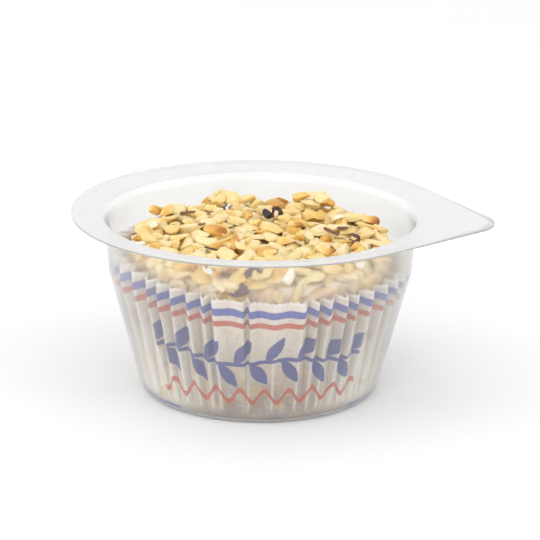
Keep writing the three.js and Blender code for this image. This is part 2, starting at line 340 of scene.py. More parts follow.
class Shader:
    """A material with one Principled shader, and short names for the nodes that feed it."""

    def __init__(self, name, **settings):
        self.material = bpy.data.materials.new(name)
        self.material.use_nodes = True
        self.tree = self.material.node_tree
        self.tree.nodes.clear()
        self.output = self.tree.nodes.new("ShaderNodeOutputMaterial")
        self.surface = self.tree.nodes.new("ShaderNodeBsdfPrincipled")
        self.tree.links.new(self.surface.outputs[0], self.output.inputs["Surface"])
        for socket, value in settings.items():
            self.surface.inputs[socket.replace("_", " ")].default_value = value

    def feed(self, socket, value):
        """Links a wire to a socket, or sets it to a number or to a colour given as 0 to 255."""
        if isinstance(value, Wire):
            self.tree.links.new(value.socket, socket)
        elif isinstance(value, tuple):
            socket.default_value = srgb(*value)
        else:
            socket.default_value = value

    def set(self, name, value):
        self.feed(self.surface.inputs[name], value)

    def node(self, kind, *values, **settings):
        """A new node with its settings made and its first inputs fed; returns all its outputs."""
        node = self.tree.nodes.new("ShaderNode" + kind)
        for name, value in settings.items():
            setattr(node, name, value)
        for socket, value in zip(node.inputs, values):
            self.feed(socket, value)
        return [Wire(self, output) for output in node.outputs]

    def math(self, operation, *values):
        return self.node("Math", *values, operation=operation)[0]

    def between(self, value, low, high):
        """0 below low and 1 above high, smooth between them."""
        return self.node("MapRange", value, low, high, interpolation_type="SMOOTHSTEP")[0]

    def band(self, value, half_width, blur):
        """1 where the value is nearer to 0 than half_width, with blurred edges."""
        return self.between(self.math("ABSOLUTE", value), half_width + blur, half_width - blur)

    def cycle(self, value):
        """The place within each whole step of the value, 0 in its middle and half a step at its ends."""
        return self.math("FRACT", value) - 0.5

    def wave(self, value, pitch, height):
        return self.math("SINE", value * (TAU / pitch)) * height

    def union(self, first, *others):
        for other in others:
            first = self.math("MAXIMUM", first, other)
        return first

    def attribute(self, name):
        """A named value of the mesh, which is the node's third output."""
        return self.node("Attribute", attribute_name=name)[2]

    def uv(self, name):
        return self.node("SeparateXYZ", *self.node("UVMap", uv_map=name))[:2]

    def place(self):
        """The place on the object, which is the node's fourth output."""
        return self.node("TexCoord")[3]

    def height(self):
        """Height above the object's base in millimetres."""
        return self.node("SeparateXYZ", self.place())[2] / MM

    def noise(self, size, detail=2, vector=None, roughness=0.5):
        """Noise from 0 to 1 with features of the given size in millimetres."""
        vector = vector or self.place()
        fourth = 0
        return self.node("TexNoise", vector, fourth, 1 / (size * MM), detail, roughness)[0]

    def patches(self, size, detail, low, high):
        """Patches of the given size in millimetres, where noise rises from low to high."""
        return self.between(self.noise(size, detail), low, high)

    def mix(self, factor, first, second):
        """A mix of colours; the node's other inputs and outputs are for numbers and vectors."""
        node = self.tree.nodes.new("ShaderNodeMix")
        node.data_type = "RGBA"
        for index, value in ((0, factor), (6, first), (7, second)):
            self.feed(node.inputs[index], value)
        return Wire(self, node.outputs[2])

    def ramp(self, factor, stops):
        node = self.tree.nodes.new("ShaderNodeValToRGB")
        self.feed(node.inputs[0], factor)
        elements = node.color_ramp.elements
        while len(elements) < len(stops):
            elements.new(0.5)
        for element, (place, colour) in zip(elements, stops):
            element.position = place
            element.color = srgb(*colour)
        return Wire(self, node.outputs[0])

    def bump(self, height, distance):
        """Relief of the given height in millimetres, at half its strength."""
        node = self.tree.nodes.new("ShaderNodeBump")
        node.inputs["Strength"].default_value = 0.5
        node.inputs["Distance"].default_value = distance * MM
        self.feed(node.inputs["Height"], height)
        self.set("Normal", Wire(self, node.outputs[0]))


# Mesh helpers


def smooth(value, low, high):
    t = np.clip((value - low) / (high - low), 0, 1)
    return t * t * (3 - 2 * t)


def lay_print(mesh, uv):
    """Gives each face corner its point's uv; u closes on itself after 1."""
    corners = np.zeros(len(mesh.loops), dtype=np.int32)
    mesh.loops.foreach_get("vertex_index", corners)
    starts = np.zeros(len(mesh.polygons), dtype=np.int32)
    mesh.polygons.foreach_get("loop_start", starts)
    places = np.asarray(uv)[corners]
    highest = np.maximum.reduceat(places[:, 0], starts)
    highest = np.repeat(highest, np.diff(np.r_[starts, len(corners)]))
    places[:, 0] += highest - places[:, 0] > 0.5
    mesh.uv_layers.new(name="Print").data.foreach_set("uv", places.astype(np.float32).ravel())


def make_piece(name, points, faces, materials, looks=None, uv=None, values=None, crease=None):
    """A smooth mesh object from points in millimetres, with sharp edges above the crease angle.

    looks holds a material's index for each face; uv and values hold one entry for each point.
    """
    mesh = bpy.data.meshes.new(name)
    mesh.from_pydata((np.asarray(points) * MM).tolist(), [], [tuple(face) for face in faces])
    for material in materials:
        mesh.materials.append(material)
    if looks is not None:
        mesh.polygons.foreach_set("material_index", np.asarray(looks, dtype=np.int32))
    mesh.shade_smooth()
    if crease is not None:
        mesh.set_sharp_from_angle(angle=crease)
    if uv is not None:
        lay_print(mesh, uv)
    for key, numbers in (values or {}).items():
        attribute = mesh.attributes.new(key, "FLOAT", "POINT")
        attribute.data.foreach_set("value", np.asarray(numbers, dtype=np.float32))
    mesh.validate()
    piece = bpy.data.objects.new(name, mesh)
    bpy.context.scene.collection.objects.link(piece)
    return piece


def capped_grid(grid, low, high, flip=False):
    """Points and faces of a grid of points that closes round in its columns.

    Its first row is closed towards the axis at the height low, and its last at the height high.
    """
    rows, columns = grid.shape[:2]
    row = np.arange(rows - 1)[:, None] * columns
    column = np.arange(columns)
    beside = (column + 1) % columns
    quads = np.stack([row + column, row + beside, row + columns + beside, row + columns + column], -1)
    faces = quads.reshape(-1, 4).tolist()
    last = (rows - 1) * columns
    for a in range(columns):
        b = (a + 1) % columns
        faces += [(rows * columns, b, a), (rows * columns + 1, last + a, last + b)]
    if flip:
        faces = [face[::-1] for face in faces]
    return np.vstack([grid.reshape(-1, 3), [[0, 0, low], [0, 0, high]]]), faces


def unit(vectors):
    """The same direction or directions, one unit long."""
    return vectors / np.linalg.norm(vectors, axis=-1, keepdims=True)


def curve(start, corner, end, steps):
    """Points from start to end on a curve that heads for the corner at both its ends."""
    t = np.linspace(0, 1, steps + 1)[:, None]
    return start * (1 - t) ** 2 + corner * (2 * t * (1 - t)) + end * (t * t)


def rounded_path(corners, steps):
    """Corners are (radius, height, rounding); each rounded corner becomes a curve."""
    path = []
    for index, (radius, height, rounding) in enumerate(corners):
        corner = np.array([radius, height], float)
        if not rounding:
            path.append(corner)
            continue
        before = unit(corners[index - 1][:2] - corner)
        after = unit(corners[index + 1][:2] - corner)
        setback = rounding / math.tan(math.acos(before @ after) / 2)
        path += list(curve(corner + before * setback, corner, corner + after * setback, steps))
    return np.array(path)


def refined_path(path, longest):
    """The same path with no step longer than the given length."""
    points = [path[0]]
    for a, b in zip(path[:-1], path[1:]):
        pieces = max(1, math.ceil(np.linalg.norm(b - a) / longest))
        points += [a + (b - a) * (i + 1) / pieces for i in range(pieces)]
    return np.array(points)


def offset_path(path, distance):
    """The same path moved to its left by a distance at each point, with mitred corners."""
    steps = unit(np.diff(path, axis=0))
    first = np.vstack([steps[:1], steps])
    along = unit(first + np.vstack([steps, steps[-1:]]))
    mitre = distance / np.maximum((along * first).sum(1), 0.5)
    return path + np.stack([-along[:, 1], along[:, 0]], 1) * mitre[:, None]


def turned(azimuth, radius):
    return np.cos(azimuth) * radius, np.sin(azimuth) * radius


def wrapped(azimuth, radius, height):
    """Points of a grid round the axis, with one column for each azimuth."""
    x, y = turned(azimuth, radius)
    return np.stack([x, y, np.broadcast_to(height, x.shape)], -1)


# Tub


def flange_outline(azimuth):
    """Radius of the flange's edge: the hull of its circle and the tab's tip circle."""
    turn = np.abs(azimuth)
    tip_centre = TAB_REACH - TAB_TIP_RADIUS
    tangent = math.acos((FLANGE_RADIUS - TAB_TIP_RADIUS) / tip_centre)
    along, across = turned(tangent, TAB_TIP_RADIUS)
    arc_end = math.atan2(across, tip_centre + along)
    straight = FLANGE_RADIUS / np.cos(np.clip(tangent - turn, 0, 1))
    under = np.clip(TAB_TIP_RADIUS**2 - (tip_centre * np.sin(turn)) ** 2, 0, None)
    tip = tip_centre * np.cos(turn) + np.sqrt(under)
    return np.where(turn >= tangent, FLANGE_RADIUS, np.where(turn >= arc_end, straight, tip))


def tub_profile():
    """The moulded solid's outer face, from the middle of the base to the flange's edge."""
    edge = TUB_HEIGHT - TUB_SHEET
    corners = [
        (0, 0, 0),
        *((radius, height, 0) for radius, height in BASE_GROOVE),
        (HEEL_RADIUS, 0, HEEL_CORNER),
        (BEAD_RADIUS, BEAD_HEIGHT, 3),
        (BAND_TOP_RADIUS, BAND_TOP_HEIGHT, 0),
        (MOUTH_RADIUS, edge - FLANGE_RISE, MOUTH_CORNER),
        (FLANGE_RADIUS - FLANGE_FLAT, edge, 0.8),
        (FLANGE_RADIUS - 0.3, edge, 0),
        (FLANGE_RADIUS, edge, 0),
    ]
    return refined_path(rounded_path(corners, steps=6), longest=1.5)


def film_section():
    """Radius and height of the film, out along its outer face and back along its inner one."""
    solid = tub_profile()
    # The film follows the solid's outer face below and its inner face at the flange
    shift = (TUB_SHEET - CLEAR_SHEET) * smooth(solid[:, 1], BAND_TOP_HEIGHT - 4, BAND_TOP_HEIGHT)
    outside = offset_path(solid, shift)
    inside = offset_path(solid, shift + CLEAR_SHEET)
    return np.vstack([outside[1:], inside[:0:-1]])


def film_looks(section):
    """Index of the film's look for each step of its section."""
    radius, height = (section[:-1] + section[1:]).T / 2
    return 1 * (height > BAND_LOOK_START) + (radius > FLANGE_LOOK_START) + (radius > EDGE_LOOK_START)


def make_tub(materials):
    section = film_section()
    radius, height = section[:, :1], section[:, 1:]
    even = np.arange(TUB_COLUMNS) / TUB_COLUMNS * TAU - math.pi
    azimuth = even - TAB_COLUMN_CROWDING * np.sin(even)
    # The flat outer ring widens into the tab; its inner edge stays round
    share = np.clip((radius - TAB_RING_START) / (FLANGE_RADIUS - TAB_RING_START), 0, None)
    radius = radius + share * (flange_outline(azimuth) - FLANGE_RADIUS)
    points, faces = capped_grid(wrapped(azimuth, radius, height), 0, CLEAR_SHEET)
    looks = np.zeros(len(faces))
    looks[:(len(section) - 1) * TUB_COLUMNS] = np.repeat(film_looks(section), TUB_COLUMNS)
    return make_piece("clear_tub", points, faces, materials, looks=looks)


def paper_reach(height):
    """Radius to which the outer folds of the paper reach at a height."""
    cone = HEEL_RADIUS + (BEAD_RADIUS - HEEL_RADIUS) * height / BEAD_HEIGHT
    slope = (BAND_TOP_RADIUS - BEAD_RADIUS) / (BAND_TOP_HEIGHT - BEAD_HEIGHT)
    band = BEAD_RADIUS + (height - BEAD_HEIGHT) * slope
    return np.minimum(cone, band) - WALL_TO_PAPER


# Paper case


def outer_folds():
    """Every outer fold once round, as angles from the front, from the back to the back."""
    left = np.linspace(-180, FRONT_FOLDS[0], BACK_FLUTES_EACH_SIDE + 1)
    right = np.linspace(FRONT_FOLDS[-1], 180, BACK_FLUTES_EACH_SIDE + 1)
    return np.radians(np.concatenate([left[:-1], FRONT_FOLDS, right[1:]]))


def flute_strength(away):
    """Depth of the folds as a share; away is the angle from the front."""
    pressed = 1 - smooth(np.abs(away), FLAT_ZONE_HALF_WIDTH, FLAT_ZONE_HALF_WIDTH + FLAT_ZONE_BLEND)
    return 1 - (1 - FLAT_ZONE_DEPTH) * pressed


def slant_at(away):
    """Paper length from the foot fold to the top edge; the case sits higher at the left."""
    return CASE_SLANT + CASE_LIFT * ((1 - np.sin(away)) / 2) ** 3


def inner_fold(away):
    """Share of a flute at which its inner fold lies; those at the sides are pushed away from the front."""
    return 0.5 + FOLD_PUSH * np.sin(away) * np.abs(np.sin(away))


def flute_fold(count, away):
    """0 on an outer fold and 1 on an inner one: sharp, but softer where the case is pressed flat."""
    within = count - np.floor(count)
    inner = inner_fold(away)
    sharp = np.where(within < inner, within / inner, (1 - within) / (1 - inner))
    soft = 0.5 - 0.5 * np.cos(math.pi * sharp)
    softness = 0.15 + 0.8 * (1 - flute_strength(away)) / (1 - FLAT_ZONE_DEPTH)
    return sharp + (soft - sharp) * softness


def fold_depths(count, away):
    """Depth of the folds at each column as a share, different from flute to flute."""
    draw = np.random.default_rng(7)
    flutes = len(outer_folds()) - 1
    depths = draw.uniform(*FLUTE_DEPTH_SHARES, flutes + 1)
    depths[-1] = depths[0]
    return flute_fold(count, away) * flute_strength(away) * np.interp(count, np.arange(flutes + 1), depths)


def case_wall(count, away):
    """Radius, height, paper length and depth of fold for each row and column of the case's wall."""
    fold = fold_depths(count, away)
    lap = np.clip(1 - np.abs(away - math.radians(LAP_DEGREES)) / LAP_HALF_WIDTH, 0, 1)
    ragged = 0.15 * np.sin(away * 157) + 0.14 * np.sin(away * 389 + 2) - 0.7 * fold
    full = slant_at(away) + ragged
    level = np.linspace(0, 1, CASE_ROWS)[:, None]
    length = level * full
    inward = FLUTE_DEPTH_PER_SLANT * length * fold
    inward = np.maximum(inward, LAP_DEPTH * lap * smooth(level, 0, 0.9))
    crumple = 0.1 * np.sin(length * 0.55 + away * 15) * np.sin(away * 32)
    inward = np.clip(inward + crumple * smooth(level, 0.1, 0.5), 0, None)
    foot_radius = paper_reach(CASE_FOOT_HEIGHT)
    height = np.full_like(length, CASE_FOOT_HEIGHT)
    # Radius and height depend on each other, and settle in a few rounds
    for _ in range(4):
        radius = paper_reach(height) - inward
        rise = np.clip(length**2 - (radius - foot_radius) ** 2, 0, None)
        height = CASE_FOOT_HEIGHT + np.sqrt(rise)
    # The print was laid on the flat paper, so it follows the paper's length and the case's lift
    printed = length * (CASE_SLANT / slant_at(away))
    return radius, height, printed, np.maximum(fold, lap) * smooth(level, 0, 0.4)


def case_base():
    """Radius and height of the base and the heel, from near the middle out to the foot fold."""
    foot_radius = paper_reach(CASE_FOOT_HEIGHT)
    heel_radius = foot_radius - CASE_HEEL_INSET
    return np.array([
        *((heel_radius * share, CASE_FLOOR) for share in (0.1, 0.35, 0.6, 0.8, 0.9, 0.96, 1)),
        (foot_radius - 0.85, CASE_FLOOR + 0.3),
        (foot_radius - 0.35, CASE_FOOT_HEIGHT - 0.9),
    ])


def base_print(base):
    """Paper length at each point of the base, counted from the foot fold and so below 0."""
    foot = [paper_reach(CASE_FOOT_HEIGHT), CASE_FOOT_HEIGHT]
    steps = np.linalg.norm(np.diff(np.vstack([base, foot]), axis=0), axis=1)
    return -np.cumsum(steps[::-1])[::-1]


def crease_distances(count, away):
    """Millimetres round the case from each column to the nearest outer and inner fold."""
    folds = outer_folds()
    before = np.floor(count).astype(int)
    width = (folds[before + 1] - folds[before]) * PRINT_RADIUS
    within = count - before
    # Where the case is pressed flat, the inner folds leave no mark: they are put out of reach
    out_of_reach = 2 * (flute_strength(away) < 0.7)
    inner = np.abs(within - inner_fold(away)) + out_of_reach
    return np.minimum(within, 1 - within) * width, inner * width


def case_columns():
    """Columns of points round the case, counted in flutes, with more of them at the lapped fold."""
    even = np.arange((len(outer_folds()) - 1) * COLUMNS_PER_FLUTE) / COLUMNS_PER_FLUTE
    lapped = BACK_FLUTES_EACH_SIDE + FRONT_FOLDS.index(LAP_DEGREES) + np.linspace(-0.24, 0.24, 21)
    return np.unique(np.concatenate([even, lapped]))


def case_section(count, away):
    """Radius, height, paper length and depth of fold of the case's outer face, base and wall."""
    base = case_base()
    below = (base[:, 0], base[:, 1], base_print(base), np.zeros(len(base)))
    return [
        np.vstack([np.repeat(low[:, None], len(count), 1), wall])
        for low, wall in zip(below, case_wall(count, away))
    ]


def make_case(material):
    folds = outer_folds()
    count = case_columns()
    columns = len(count)
    away = np.interp(count, np.arange(len(folds)), folds)
    radius, height, printed, fold = case_section(count, away)
    rows = 2 * len(radius)

    azimuth = FRONT_AZIMUTH + away
    outer = wrapped(azimuth, radius, height)
    lifted = height + np.where(height < CASE_FOOT_HEIGHT, PAPER, 0)
    inner = wrapped(azimuth, radius - np.minimum(PAPER_ACROSS_FOLDS, radius), lifted)
    points, faces = capped_grid(np.vstack([outer, inner[::-1]]), CASE_FLOOR, CASE_FLOOR + PAPER)

    turns = np.broadcast_to(away / TAU, printed.shape)
    uv = np.stack([turns, printed / PRINT_LENGTH], -1)
    middle = [[0, PRINT_MIDDLE / PRINT_LENGTH]] * 2
    uv = np.vstack([uv.reshape(-1, 2), uv[::-1].reshape(-1, 2), middle])
    crest, valley = crease_distances(count, away)
    values = {
        "fold": np.concatenate([fold.ravel(), fold[::-1].ravel(), [0, 0]]),
        "crest": np.concatenate([np.tile(crest, rows), [0, 0]]),
        "valley": np.concatenate([np.tile(valley, rows), [0, 0]]),
        "outside": np.concatenate([np.repeat([1, 0], rows // 2 * columns), [1, 0]]),
    }
    return make_piece("pleated_case", points, faces, [material], uv=uv, values=values)


# Cheese


def curd_profile():
    """Radius and height down the cheese, from the middle of its top to its foot."""
    radius = np.linspace(0, SHOULDER_RADIUS - EDGE_ROUNDING, 20)
    crown = np.stack([radius, CHEESE_TOP - EDGE_DROP * (radius / SHOULDER_RADIUS) ** 2], 1)
    corner = np.array([SHOULDER_RADIUS, CHEESE_TOP - EDGE_DROP])
    shoulder = np.array([SHOULDER_RADIUS, SHOULDER_HEIGHT])
    rounding = curve(crown[-1], corner, shoulder, steps=8)[1:]
    wall = [
        (WAIST_RADIUS, WAIST_HEIGHT),
        (FOOT_RADIUS + 0.4, CHEESE_FLOOR + 3),
        (FOOT_RADIUS - 1.5, CHEESE_FLOOR),
    ]
    return refined_path(np.vstack([crown, rounding, wall]), longest=1.2)


def make_curd(material):
    path = curd_profile()[1:]
    rows, columns = len(path), 180
    azimuth = np.arange(columns) / columns * TAU
    draw = np.random.default_rng(3)
    bumps = draw.normal(0, 0.1, (rows, columns))
    radius = path[:, :1] + bumps * (path[:, 1:] > CHEESE_FLOOR)
    height = path[:, 1:] + bumps * (path[:, :1] < SHOULDER_RADIUS - 1)
    grid = wrapped(azimuth, radius, np.maximum(height, CHEESE_FLOOR))
    points, faces = capped_grid(grid, CHEESE_TOP, CHEESE_FLOOR, flip=True)
    return make_piece("curd", points, faces, [material])


# Chopped hazelnuts


def chip_shape(draw, proportions, bend):
    """A chip about one unit long: a lumpy pebble with flat cuts, bent along its length."""
    shape = bmesh.new()
    bmesh.ops.create_icosphere(shape, subdivisions=3, radius=0.5)
    points = np.array([vert.co[:] for vert in shape.verts])
    faces = np.array([[vert.index for vert in face.verts] for face in shape.faces])
    shape.free()
    for _ in range(WAVES_PER_CHIP):
        points *= 1 + WAVE_HEIGHT * np.sin(points @ draw.normal(0, 5, 3) + draw.uniform(0, TAU))[:, None]
    points *= proportions
    for _ in range(CUTS_PER_CHIP):
        direction = unit(draw.normal(size=3) / np.array(proportions))
        reach = points @ direction
        over = np.clip(reach - reach.max() * draw.uniform(*CUT_REACHES), 0, None)
        points -= over[:, None] * direction
    points[:, 2] += bend * (points[:, 0] ** 2 - 0.1)
    return points, faces


def skin_shape(draw, curl):
    """A thin flake of nut skin about one unit long, curled by an angle across its width."""
    rows, columns = 7, 8
    u, v = np.meshgrid(np.linspace(-0.5, 0.5, columns), np.linspace(-0.5, 0.5, rows))
    narrowing = 1 - 0.5 * (2 * v) ** 2 * (0.6 + 0.6 * draw.random())
    x = v + 0.05 * draw.normal(size=u.shape)
    y = np.sin(u * curl) / curl * narrowing * 0.9 + 0.03 * draw.normal(size=u.shape)
    z = (1 - np.cos(u * curl)) / curl + 0.25 * v * v + 0.03 * draw.normal(size=u.shape)
    top = np.stack([x, y, z], -1).reshape(-1, 3)
    under = top - [0, 0, SKIN_THICKNESS]
    below = rows * columns
    index = np.arange(below).reshape(rows, columns)
    upper = np.stack([index[:-1, :-1], index[:-1, 1:], index[1:, 1:], index[1:, :-1]], -1).reshape(-1, 4)
    rim = np.concatenate([index[0], index[1:, -1], index[-1, -2::-1], index[-2:0:-1, 0]])
    after = np.roll(rim, -1)
    sides = np.stack([after, rim, rim + below, after + below], 1)
    faces = np.vstack([upper, upper[:, ::-1] + below, sides])
    return np.vstack([top, under]), np.vstack([faces[:, [0, 1, 2]], faces[:, [0, 2, 3]]])


def heap_top(place):
    """Height that the nuts reach above a place on the cheese."""
    height = HEAP_TOP
    for azimuth, radius, rise, spread in HEAP_HUMPS:
        x, y = turned(math.radians(azimuth), radius)
        height += rise * math.exp(-((place[0] - x) ** 2 + (place[1] - y) ** 2) / (2 * spread**2))
    return height


class Coat:
    """The surface that carries the chips, and how thick the coat is so far at each sample of it."""

    def __init__(self):
        path = refined_path(curd_profile(), longest=0.4)
        path = path[path[:, 1] > COAT_LOWEST - 2]
        slope = unit(np.gradient(path, axis=0))
        azimuth = np.arange(0, TAU, math.radians(0.8))
        self.points = wrapped(azimuth, path[:, :1], path[:, 1:]).reshape(-1, 3)
        self.normals = wrapped(azimuth, -slope[:, 1:], slope[:, :1]).reshape(-1, 3)
        self.thickness = np.zeros(len(self.points))

    def nearest(self, place):
        return int(np.argmin(((self.points - place) ** 2).sum(1)))

    def is_full(self, place, thickness):
        """Whether one more chip would rise above the heap's top or stand out at its side."""
        centre = self.nearest(place)
        outermost = self.points[centre] + self.normals[centre] * (self.thickness[centre] + 0.7 * thickness)
        return outermost[2] > heap_top(outermost) or np.linalg.norm(outermost[:2]) > COAT_REACH + 0.3

    def lay(self, place, size, turn, draw, sink=CHIP_SINK):
        """Presses a chip of a length, width and thickness into the coat; returns matrix and middle."""
        centre = self.nearest(place)
        normal = self.normals[centre]
        helper = np.array([0, 0, 1.0]) if abs(normal[2]) < 0.7 else np.array([1.0, 0, 0])
        first = unit(np.cross(helper, normal))
        along = first * math.cos(turn) + np.cross(normal, first) * math.sin(turn)
        across = np.cross(normal, along)
        away = self.points - self.points[centre]
        a, b = away @ along / (size[0] / 2), away @ across / (size[1] / 2)
        under = (a * a + b * b < 1) & (np.abs(away @ normal) < 5)
        a, b, held = a[under], b[under], self.thickness[under]
        fit = np.linalg.lstsq(np.stack([a, b, np.ones_like(a)], 1), held, rcond=None)[0]
        tilt_a, tilt_b = [
            np.clip(slope, -steepest, steepest) + draw.normal(0, spread)
            for slope, (steepest, spread) in zip(fit, CHIP_TILTS)
        ]
        plane = tilt_a * a + tilt_b * b
        rest = np.quantile(held - plane, 0.6)
        dome = CHIP_DOME * np.sqrt(1 - a * a - b * b)
        self.thickness[under] = np.maximum(held, rest + plane + size[2] * (0.5 - sink + dome))
        along = unit(along + normal * tilt_a / (size[0] / 2))
        across = across + normal * tilt_b / (size[1] / 2)
        upward = unit(np.cross(along, across))
        across = np.cross(upward, along)
        middle = self.points[centre] + normal * (rest + size[2] * (0.5 - sink))
        return np.stack([along, across, upward], 1), middle


class Pile:
    """Collects the chips of one piece into one mesh."""

    def __init__(self, reach=COAT_REACH):
        self.points, self.faces, self.toast, self.grain = [], [], [], []
        self.count = 0
        self.reach = reach

    def add(self, shape, size, turn_matrix, middle, toast, end_tones):
        """Adds a shape; end_tones is the change of its tone along its length and its thickness."""
        points, faces = shape
        placed = (points * size) @ turn_matrix.T + middle
        placed[:, 2] -= max(placed[:, 2].max() - COAT_HIGHEST, 0)
        reach = np.linalg.norm(placed[:, :2], axis=1).max()
        outward = middle[:2] / (np.linalg.norm(middle[:2]) + 1e-6)
        placed[:, :2] -= outward * max(reach - self.reach, 0)
        self.points.append(placed)
        self.faces.append(faces + self.count)
        self.toast.append(toast + end_tones[0] * points[:, 0] + end_tones[1] * points[:, 2])
        self.grain.append(np.full(len(points), middle.sum() % 1))
        self.count += len(points)

    def make(self, name, material):
        values = {"toast": np.concatenate(self.toast), "grain": np.concatenate(self.grain)}
        points, faces = np.vstack(self.points), np.vstack(self.faces)
        return make_piece(name, points, faces, [material], values=values, crease=CHIP_CREASE)


class Sprinkler:
    """Draws the shapes of chips and skins, and lays them on the coat, each on its pile."""

    def __init__(self, draw):
        self.draw = draw
        self.chips = {
            name: [chip_shape(draw, kind.proportions, 0.45 * draw.random()) for _ in range(kind.shapes)]
            for name, kind in CHIP_KINDS.items()
        }
        self.skins = [skin_shape(draw, draw.uniform(*FLAKE_CURLS)) for _ in range(5)]
        self.curls = [skin_shape(draw, CURL_ARC) for _ in range(2)]
        self.hulls = [skin_shape(draw, HULL_CURL) for _ in range(2)]
        self.coat = Coat()
        self.pale, self.golden, self.toasted, self.dark = Pile(), Pile(), Pile(), Pile(SKIN_REACH)
        self.rare_kinds = {
            "half": self.lay_half, "skin": self.lay_skin, "hull": self.lay_hull,
            "nub": self.lay_nub, "curl": self.lay_curl,
        }

    def pick(self, shapes):
        return shapes[self.draw.integers(len(shapes))]

    def lay_chip(self, place, kind, length, turn, tone, end_tone=0):
        pile = self.pale if tone < PALE_BELOW else self.golden if tone < GOLDEN_BELOW else self.toasted
        shape = self.pick(self.chips[kind])
        size = length * np.array(CHIP_KINDS[kind].proportions)
        placement = self.coat.lay(place, size, turn, self.draw)
        end_tones = self.draw.normal(0, 0.14, 2) + (end_tone, 0)
        pile.add(shape, length, *placement, tone, end_tones)

    def lay_half(self, place, length, turn, tone, kind="chunk"):
        """A chip that is toasted at one end."""
        self.lay_chip(place, kind, length, turn, tone, HALF_TOASTED_END)

    def lay_skin(self, place, length, turn, tone, shapes=None):
        size = length * np.array(SKIN_SIZE)
        placement = self.coat.lay(place, size, turn, self.draw, sink=0.1)
        self.dark.add(self.pick(shapes or self.skins), size, *placement, tone, (0, 0.3))

    def lay_hull(self, place, length, turn, tone):
        """A skin that lies with its hollow down, over a chip."""
        self.lay_skin(place, length, turn, tone, self.hulls)

    def lay_nub(self, place, length, turn, tone):
        """A dark lump."""
        shape = self.pick(self.chips["chunk"])
        placement = self.coat.lay(place, length * np.array([1, 0.8, 0.8]), turn, self.draw, sink=-0.1)
        self.dark.add(shape, length, *placement, tone, (0, 0))

    def lay_curl(self, place, length, turn, tone):
        """A rolled skin seen end on from the front, its arc open to the side that turn gives."""
        _, middle = self.coat.lay(place, length * np.array([1, 0.4, 0.5]), 0, self.draw)
        axis = np.array([*turned(FRONT_AZIMUTH, 1), 0])
        up = np.array([0, 0, 1])
        right = np.cross(up, axis)
        across = right * math.cos(turn) + up * math.sin(turn)
        opening = up * math.cos(turn) - right * math.sin(turn)
        turn_matrix = np.stack([axis, across, opening], 1)
        middle = middle + (up - opening) * length * CURL_LIFT
        self.dark.add(self.pick(self.curls), length * CURL_SIZE, turn_matrix, middle, tone, (0, 0.3))

    def lay_any(self, place):
        """A chip of any kind where the coat isn't full yet: a pale or golden one, or a toasted one."""
        draw = self.draw
        name = draw.choice(list(CHIP_KINDS), p=[kind.share for kind in CHIP_KINDS.values()])
        kind = CHIP_KINDS[name]
        length = draw.uniform(*kind.lengths)
        turn = draw.uniform(0, TAU)
        if self.coat.is_full(place, length * kind.proportions[2]):
            return
        if draw.random() >= HALF_TOASTED_SHARE:
            self.lay_chip(place, name, length, turn, DARKEST_NUT * draw.beta(*NUT_TONE_SPREAD))
            return
        self.lay_half(place, length * HALF_TOASTED_LENGTH, turn, draw.uniform(*HALF_TOASTED_TONES), name)
        if draw.random() < LOOSE_SKIN_SHARE:
            length = draw.uniform(*LOOSE_SKIN_LENGTHS)
            self.lay_skin(place, length, turn, draw.uniform(*LOOSE_SKIN_TONES))

    def lay_standout(self, place, length, turn, tone, kind):
        place, turn = np.array(place), math.radians(turn)
        if kind in self.rare_kinds:
            self.rare_kinds[kind](place, length, turn, tone)
        else:
            self.lay_chip(place, kind, length, turn, tone)


def coat_places(draw):
    """Places for the chips in the order they fall, layer by layer."""
    def at(azimuth, radius, height):
        return np.array([*turned(azimuth, radius), height])

    for count, low, high in SIDE_LAYERS:
        for i in range(count):
            azimuth = i * GOLDEN_ANGLE + draw.normal(0, 0.05)
            yield at(azimuth, SHOULDER_RADIUS, low + (high - low) * (i + 0.5) / count)
    for count, inset, first in TOP_LAYERS:
        reach = SHOULDER_RADIUS - inset
        for i in range(count):
            radius = reach * math.sqrt((i + 0.5) / count) + draw.normal(0, 0.4)
            yield at((i + first) * GOLDEN_ANGLE, radius, CHEESE_TOP)


def make_coat(looks):
    """The coat's four pieces; looks are those of pale, golden and toasted chips and of skins."""
    draw = np.random.default_rng(COAT_SEED)
    sprinkler = Sprinkler(draw)
    for place in list(coat_places(draw)):
        sprinkler.lay_any(place)
    for standout in STANDOUTS:
        sprinkler.lay_standout(*standout)
    piles = (sprinkler.pale, sprinkler.golden, sprinkler.toasted, sprinkler.dark)
    names = ("pale_chips", "golden_chips", "toasted_chips", "skin_flakes")
    return [pile.make(name, look) for pile, name, look in zip(piles, names, looks)]


# Materials


def clear_look(name, haze, tint, roughness):
    """Clear film, which lets the lamps' light through without bending it."""
    look = Shader(
        name, Base_Color=(tint, tint * 1.004, tint, 1), Roughness=roughness, IOR=1.49,
        Transmission_Weight=1 - haze,
    )
    film = Wire(look, look.surface.outputs[0])
    in_shadow = look.node("LightPath")[1]
    clear = look.node("BsdfTransparent", CLEAR_SHADOW)[0]
    look.feed(look.output.inputs["Surface"], look.node("MixShader", in_shadow, film, clear)[0])
    return look.material


def printed_part(look, turns, shift, half_length, blur):
    """1 over the printed part of each third of the case, 0 over the bare paper between them."""
    return look.band(look.cycle(turns * PRINTS_ROUND + shift), half_length, blur)


def leaf_mask(look, along, across, phase, centre, tilt):
    """Pointed leaves in a row, one in each pitch, centred at a distance across it."""
    x = look.cycle(along / LEAF_PITCH + phase) * LEAF_PITCH
    y = across - centre
    a = x * math.cos(tilt) + y * math.sin(tilt)
    b = look.math("ABSOLUTE", y * math.cos(tilt) - x * math.sin(tilt))
    taper = a * a * (-LEAF_HALF_WIDTH / LEAF_HALF_LENGTH**2) + LEAF_HALF_WIDTH
    return look.between(taper - b, -0.08, 0.1)


